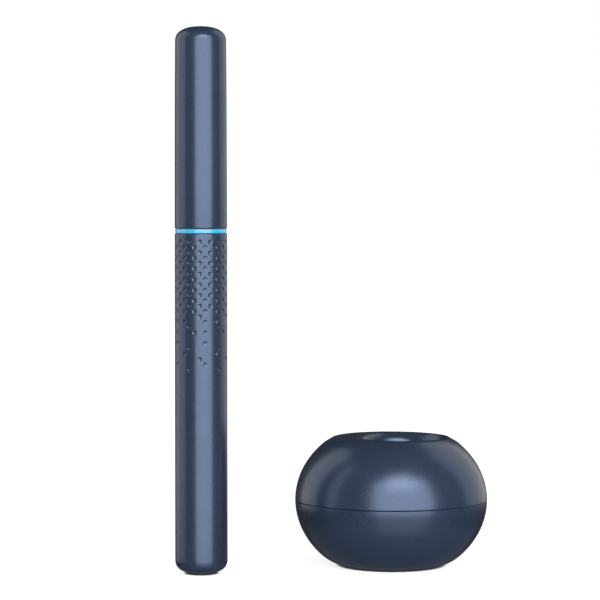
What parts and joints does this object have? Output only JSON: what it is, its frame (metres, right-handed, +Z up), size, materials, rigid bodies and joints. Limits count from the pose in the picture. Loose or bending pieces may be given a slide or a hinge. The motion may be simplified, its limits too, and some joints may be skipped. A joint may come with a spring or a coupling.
{
  "type": "camera ear cleaner with charging dock",
  "caption": "Slim capped pen with a lit ring, a lens tube and a soft scoop for cleaning ears, standing beside its squashed-ball charging dock.",
  "frame": {"origin": "centre of the underside of the dock's foot pad, on the table", "axes": "+Z up, along the pen; +Y towards the back, where the dock's charging socket is; +X to the right, the way the dock's well leans; the pen stands at -X and a little to the front"},
  "size_m": [0.0844, 0.0524, 0.1455],
  "materials": {
    "navy_shell": "satin navy lacquer with a fine metallic flake",
    "light_ring": "milky light guide, lit cyan",
    "black_plastic": "fine moulded matte black",
    "graphite_plastic": "moulded matte graphite",
    "white_plastic": "moulded matte white",
    "clear_silicone": "soft milky silicone",
    "clear_plastic": "clear light guide",
    "lens_glass": "coated lens glass",
    "steel": "bright stainless steel",
    "nickel": "nickel plating on a magnet",
    "gold": "gold plating",
    "rubber": "matte black rubber",
    "ballast_iron": "cast iron",
    "battery": "shrink sleeve on a lithium cell",
    "circuit_board": "green solder mask",
    "chip": "moulded chip package",
    "flex": "amber flexible circuit",
    "red_wire": "red insulation",
    "black_wire": "black insulation"
  },
  "bodies": {
    "dock_base": {"dock_lower_shell": "navy_shell", "foot_pad": "rubber", "ballast": "ballast_iron", "charge_board": "circuit_board", "usb_socket": "steel", "usb_tongue": "black_plastic", "storage_deck": "graphite_plastic", "deck_screw_1": "steel", "deck_screw_2": "steel", "deck_screw_3": "steel", "charging_cup": "black_plastic", "dock_magnet": "nickel", "pin_board": "circuit_board", "pin_barrel_centre": "gold", "pin_barrel_outer": "gold", "pin_wire_red": "red_wire", "pin_wire_black": "black_wire"},
    "dock_lid": {"dock_upper_shell": "navy_shell"},
    "pin_centre": {"pin_plunger_centre": "gold"},
    "pin_outer": {"pin_plunger_outer": "gold"},
    "spare_tip_a": {"spare_tip_1": "clear_silicone"},
    "spare_tip_b": {"spare_tip_2": "clear_silicone"},
    "spare_tip_c": {"spare_tip_3": "clear_silicone"},
    "spare_tip_d": {"spare_tip_4": "clear_silicone"},
    "pen_body": {"handle_shell": "navy_shell", "tail_plate": "black_plastic", "tail_contact_pad": "gold", "tail_contact_ring": "gold", "tail_magnet": "nickel", "inner_sled": "white_plastic", "battery_cell": "battery", "battery_board": "circuit_board", "main_board": "circuit_board", "motion_sensor": "chip", "processor_chip": "chip", "wifi_shield": "steel", "camera_connector": "white_plastic", "cap_switch": "chip", "charger_chip": "chip", "charge_wire_red": "red_wire", "charge_wire_black": "black_wire", "ring_led_board": "circuit_board", "ring_led_1": "white_plastic", "ring_led_2": "white_plastic", "ring_led_3": "white_plastic", "light_ring": "light_ring", "neck": "black_plastic", "cap_oring": "rubber", "lens_tube": "steel", "light_guide": "clear_plastic", "lens_barrel": "black_plastic", "front_lens": "lens_glass", "image_sensor": "chip", "camera_flex": "flex"},
    "cap": {"cap_shell": "navy_shell", "cap_liner": "black_plastic", "cap_magnet": "nickel"},
    "fitted_tip": {"ear_tip": "clear_silicone"}
  },
  "joints": [
    {"name": "dock_lid_lift", "type": "slide", "parent": "dock_base", "child": "dock_lid", "axis": [0, 0, 1], "range_m": [0, 0.05]},
    {"name": "pin_centre_press", "type": "slide", "parent": "dock_base", "child": "pin_centre", "axis": [-0.1266, 0, -0.992], "range_m": [0, 0.0008], "stiffness_N_per_m": 500, "springref_m": -0.0006},
    {"name": "pin_outer_press", "type": "slide", "parent": "dock_base", "child": "pin_outer", "axis": [-0.1266, 0, -0.992], "range_m": [0, 0.0008], "stiffness_N_per_m": 500, "springref_m": -0.0006},
    {"name": "spare_tip_1_lift", "type": "slide", "parent": "dock_base", "child": "spare_tip_a", "axis": [0, 0, 1], "range_m": [0, 0.0032]},
    {"name": "spare_tip_2_lift", "type": "slide", "parent": "dock_base", "child": "spare_tip_b", "axis": [0, 0, 1], "range_m": [0, 0.0032]},
    {"name": "spare_tip_3_lift", "type": "slide", "parent": "dock_base", "child": "spare_tip_c", "axis": [0, 0, 1], "range_m": [0, 0.0032]},
    {"name": "spare_tip_4_lift", "type": "slide", "parent": "dock_base", "child": "spare_tip_d", "axis": [0, 0, 1], "range_m": [0, 0.0032]},
    {"name": "pen_lift", "type": "slide", "parent": "dock_base", "child": "pen_body", "axis": [0, 0, 1], "range_m": [0, 0.05]},
    {"name": "cap_pull", "type": "slide", "parent": "pen_body", "child": "cap", "axis": [0, 0, 1], "range_m": [0, 0.055]},
    {"name": "ear_tip_pull", "type": "slide", "parent": "pen_body", "child": "fitted_tip", "axis": [0, 0, 1], "range_m": [0, 0.0066]}
  ]
}
